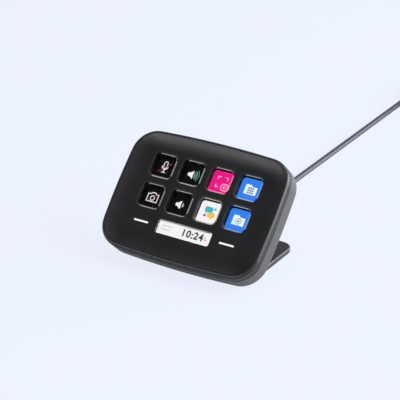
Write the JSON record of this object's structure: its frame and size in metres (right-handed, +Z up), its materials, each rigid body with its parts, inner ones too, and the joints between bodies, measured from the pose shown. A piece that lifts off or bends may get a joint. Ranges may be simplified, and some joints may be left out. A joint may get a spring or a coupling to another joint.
{
  "type": "macro keypad",
  "caption": "Desk macro keypad leaning back on a fixed foot, with sprung clear picture keys, an info bar, two touch strips and a coiled lead.",
  "frame": {"origin": "middle of the object's footprint, on the table under the foot's rubber pad, leaving out the lead", "axes": "+X to the right across the keys, +Y away from the user towards the lead, +Z up"},
  "size_m": [0.1091, 0.367, 0.0659],
  "materials": {
    "case_black": "fine matt moulded texture",
    "key_clear": "clear polished moulding over the display",
    "silicone": "satin silicone",
    "circuit_board": "green solder mask",
    "display_glass": "display panel under the keys",
    "tray_steel": "pressed zinc-plated sheet",
    "info_lens": "clear window over a white screen",
    "screen_white": "white screen",
    "light_guide": "frosted clear, lit white",
    "copper_foil": "thin copper foil",
    "ribbon_film": "amber polyimide film",
    "screw_black": "black oxide",
    "screw_steel": "zinc plated",
    "foot_black": "satin moulded plate with a bright bevel",
    "pad_rubber": "matt non-slip rubber",
    "plug_black": "soft satin overmould",
    "plug_steel": "nickel-plated drawn shell",
    "lead_jacket": "satin slate-grey jacket",
    "tie_strap": "hook-and-loop strap"
  },
  "bodies": {
    "case": {"front_shell": "case_black", "rear_shell": "case_black", "key_mat": "silicone", "key_board": "circuit_board", "key_display": "display_glass", "display_tray": "tray_steel", "info_window": "info_lens", "info_display": "screen_white", "touch_guide_left": "light_guide", "touch_guide_right": "light_guide", "touch_pad_left": "copper_foil", "touch_pad_right": "copper_foil", "main_board": "circuit_board", "display_ribbon": "ribbon_film", "info_ribbon": "ribbon_film", "usb_board": "circuit_board", "usb_socket": "plug_steel", "usb_ribbon": "ribbon_film", "case_screws": "screw_black", "tray_screws": "screw_steel", "board_screws": "screw_steel", "foot_screws": "screw_steel", "foot_plate": "foot_black", "foot_pad": "pad_rubber", "plug_grip": "plug_black", "plug_shell": "plug_steel", "cable_relief": "plug_black", "cable_tube": "lead_jacket", "cable_coil": "lead_jacket", "cable_tie": "tie_strap", "cable_tail": "lead_jacket", "far_plug_grip": "plug_black", "far_plug_shell": "plug_steel"},
    "key_1": {"key_cap_1": "key_clear"},
    "key_2": {"key_cap_2": "key_clear"},
    "key_3": {"key_cap_3": "key_clear"},
    "key_4": {"key_cap_4": "key_clear"},
    "key_5": {"key_cap_5": "key_clear"},
    "key_6": {"key_cap_6": "key_clear"},
    "key_7": {"key_cap_7": "key_clear"},
    "key_8": {"key_cap_8": "key_clear"}
  },
  "joints": [
    {"name": "key_1_press", "type": "slide", "parent": "case", "child": "key_1", "axis": [0, 0.7254, -0.6884], "range_m": [0, 0.0008], "stiffness_N_per_m": 750},
    {"name": "key_2_press", "type": "slide", "parent": "case", "child": "key_2", "axis": [0, 0.7254, -0.6884], "range_m": [0, 0.0008], "stiffness_N_per_m": 750},
    {"name": "key_3_press", "type": "slide", "parent": "case", "child": "key_3", "axis": [0, 0.7254, -0.6884], "range_m": [0, 0.0008], "stiffness_N_per_m": 750},
    {"name": "key_4_press", "type": "slide", "parent": "case", "child": "key_4", "axis": [0, 0.7254, -0.6884], "range_m": [0, 0.0008], "stiffness_N_per_m": 750},
    {"name": "key_5_press", "type": "slide", "parent": "case", "child": "key_5", "axis": [0, 0.7254, -0.6884], "range_m": [0, 0.0008], "stiffness_N_per_m": 750},
    {"name": "key_6_press", "type": "slide", "parent": "case", "child": "key_6", "axis": [0, 0.7254, -0.6884], "range_m": [0, 0.0008], "stiffness_N_per_m": 750},
    {"name": "key_7_press", "type": "slide", "parent": "case", "child": "key_7", "axis": [0, 0.7254, -0.6884], "range_m": [0, 0.0008], "stiffness_N_per_m": 750},
    {"name": "key_8_press", "type": "slide", "parent": "case", "child": "key_8", "axis": [0, 0.7254, -0.6884], "range_m": [0, 0.0008], "stiffness_N_per_m": 750}
  ]
}
